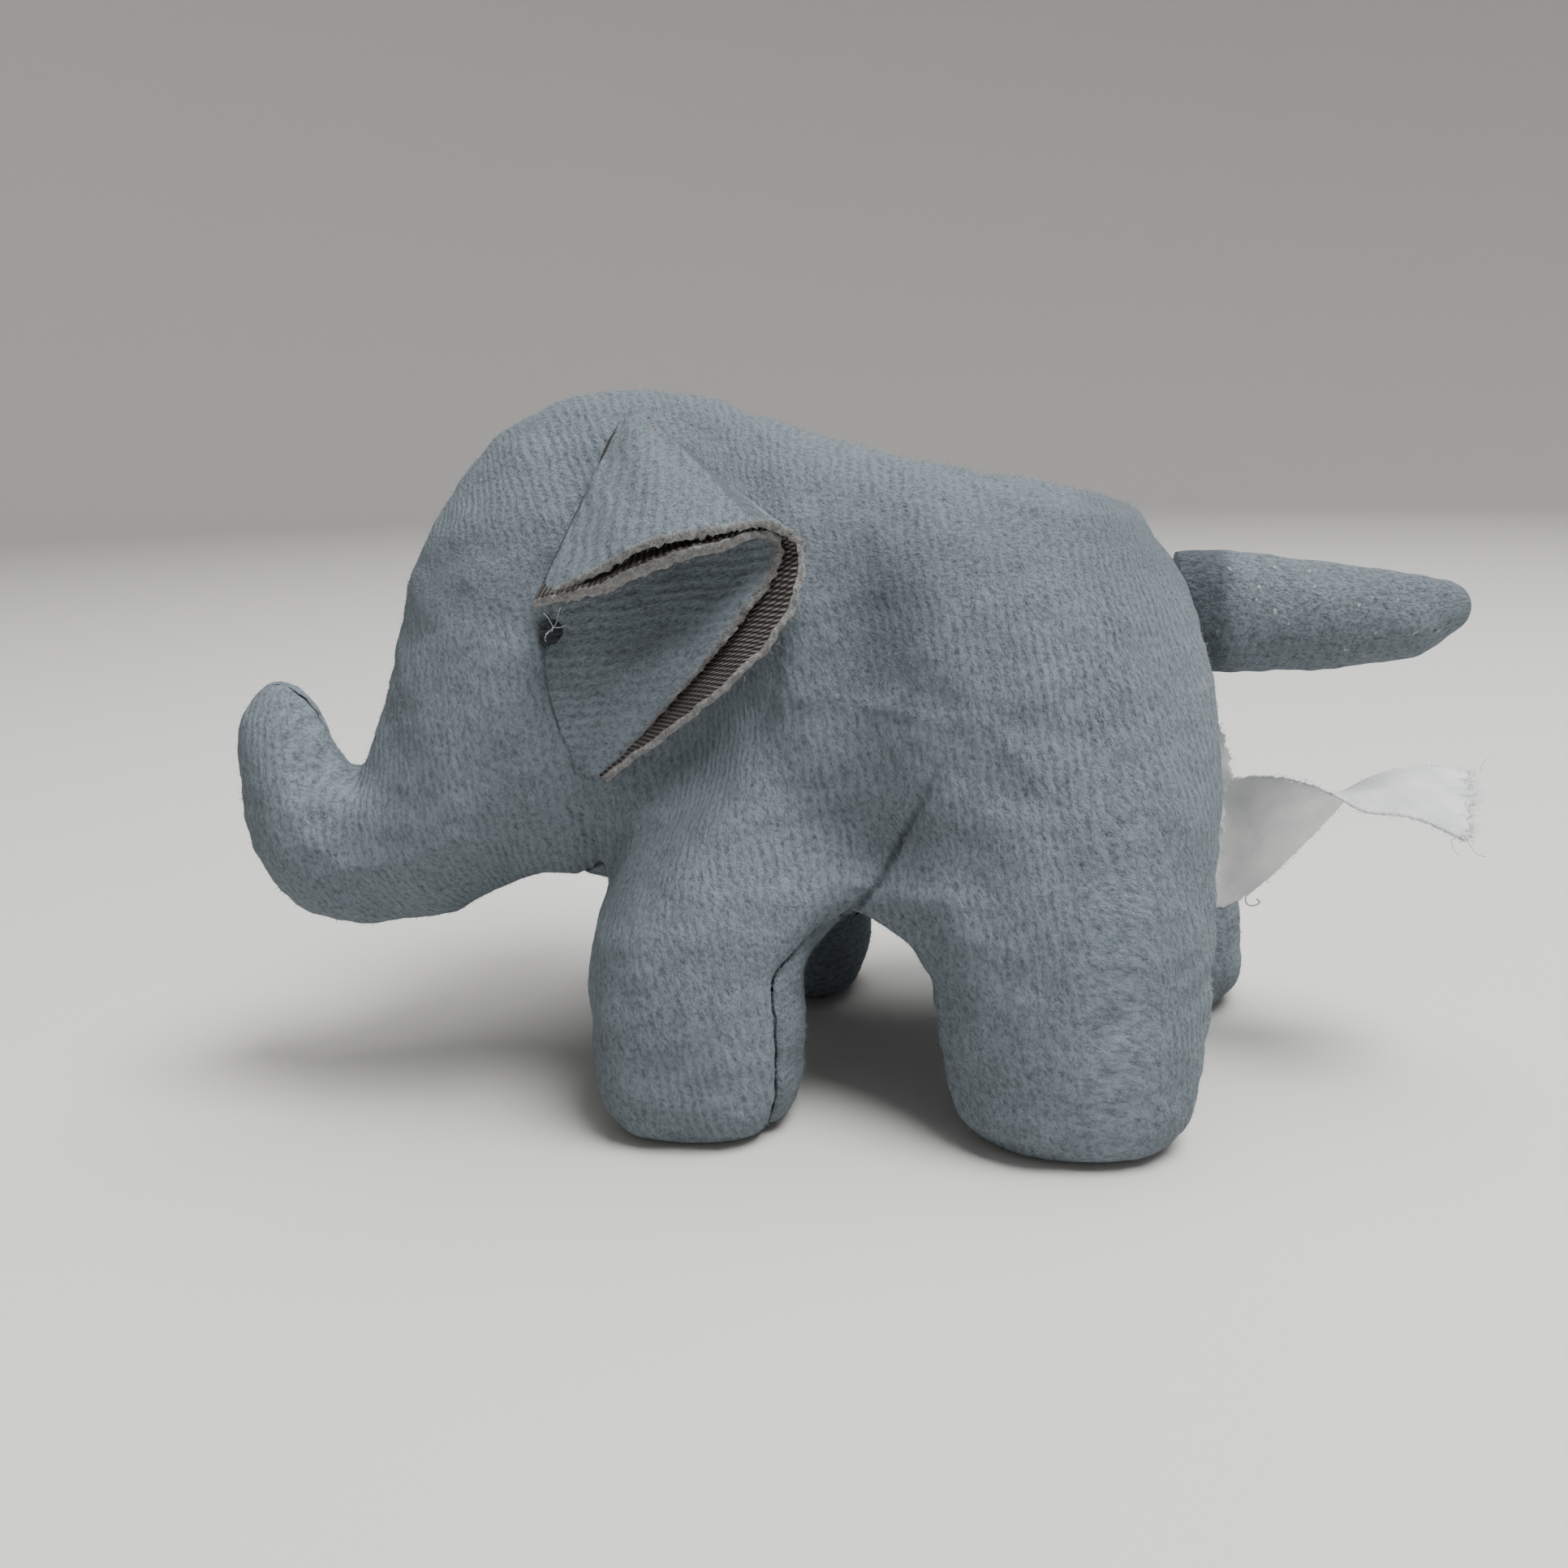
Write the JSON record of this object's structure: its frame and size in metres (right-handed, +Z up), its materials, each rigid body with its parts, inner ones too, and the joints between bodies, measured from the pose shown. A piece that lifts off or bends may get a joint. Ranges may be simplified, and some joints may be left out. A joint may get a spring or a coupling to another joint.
{
  "type": "stuffed elephant",
  "caption": "Small stuffed elephant of grey velour standing on its legs, with an upturned trunk, folded ears, a padded tail and a ribbon label.",
  "frame": {"origin": "middle of the whole toy's box, on the surface that its feet stand on", "axes": "+Z up, head towards -X and tail towards +X, the elephant's left side towards -Y"},
  "size_m": [0.1254, 0.054, 0.0741],
  "materials": {
    "velour": "knit pile, matte",
    "ear_velour": "knit pile outside, brown twill wrong side",
    "tail_velour": "tufted pile, matte",
    "filling": "loose polyester fibre",
    "thread": "spun thread",
    "ribbon": "woven ribbon, frayed edges, unprinted",
    "eye_knot": "dark twisted thread"
  },
  "bodies": {
    "root": {"left_side_panel": "velour", "right_side_panel": "velour", "left_inner_leg_panel": "velour", "right_inner_leg_panel": "velour", "left_thigh_dart_thread": "thread", "right_thigh_dart_thread": "thread", "left_leg_seam_thread": "thread", "right_leg_seam_thread": "thread", "back_seam_thread": "thread", "belly_seam_thread": "thread", "torso_filling": "filling", "head_filling": "filling", "left_front_leg_filling": "filling", "left_hind_leg_filling": "filling", "right_front_leg_filling": "filling", "right_hind_leg_filling": "filling", "care_label_sewn_end": "ribbon", "left_eye": "eye_knot", "right_eye": "eye_knot", "eye_tie_thread": "thread"},
    "trunk": {"left_trunk_panel": "velour", "right_trunk_panel": "velour", "trunk_seam_thread": "thread", "trunk_filling": "filling"},
    "left_ear": {"left_ear_inner_layer": "ear_velour", "left_ear_outer_layer": "ear_velour"},
    "right_ear": {"right_ear_inner_layer": "ear_velour", "right_ear_outer_layer": "ear_velour"},
    "tail_root": {"tail_knot": "thread"},
    "tail": {"tail_skin": "tail_velour", "tail_filling": "filling"},
    "label": {"care_label": "ribbon"}
  },
  "joints": [
    {"name": "trunk_curl", "type": "hinge", "parent": "root", "child": "trunk", "pos_m": [-0.05443, -0.01515, 0.0279], "axis": [-0.342, 0.9397, 0], "range_deg": [-25, 15], "stiffness_Nm_per_rad": 0.01},
    {"name": "left_ear_swing", "type": "hinge", "parent": "root", "child": "left_ear", "pos_m": [-0.02101, -0.02012, 0.0545], "axis": [0.0807, 0.1827, 0.9798], "range_deg": [-12, 6], "stiffness_Nm_per_rad": 0.002},
    {"name": "right_ear_swing", "type": "hinge", "parent": "root", "child": "right_ear", "pos_m": [-0.03203, 0.01014, 0.0545], "axis": [-0.1793, 0.0881, -0.9798], "range_deg": [-12, 9], "stiffness_Nm_per_rad": 0.002},
    {"name": "tail_wag", "type": "hinge", "parent": "root", "child": "tail_root", "pos_m": [0.0375, 0, 0.051], "axis": [0, 0, 1], "range_deg": [-25, 25], "stiffness_Nm_per_rad": 0.008},
    {"name": "tail_lift", "type": "hinge", "parent": "tail_root", "child": "tail", "pos_m": [0.0375, 0, 0.051], "axis": [0, -1, 0], "range_deg": [-20, 25], "stiffness_Nm_per_rad": 0.008},
    {"name": "label_swing", "type": "hinge", "parent": "root", "child": "label", "pos_m": [0.03825, 0, 0.0295], "axis": [0, 0, 1], "range_deg": [-55, 55], "stiffness_Nm_per_rad": 0.0004}
  ]
}
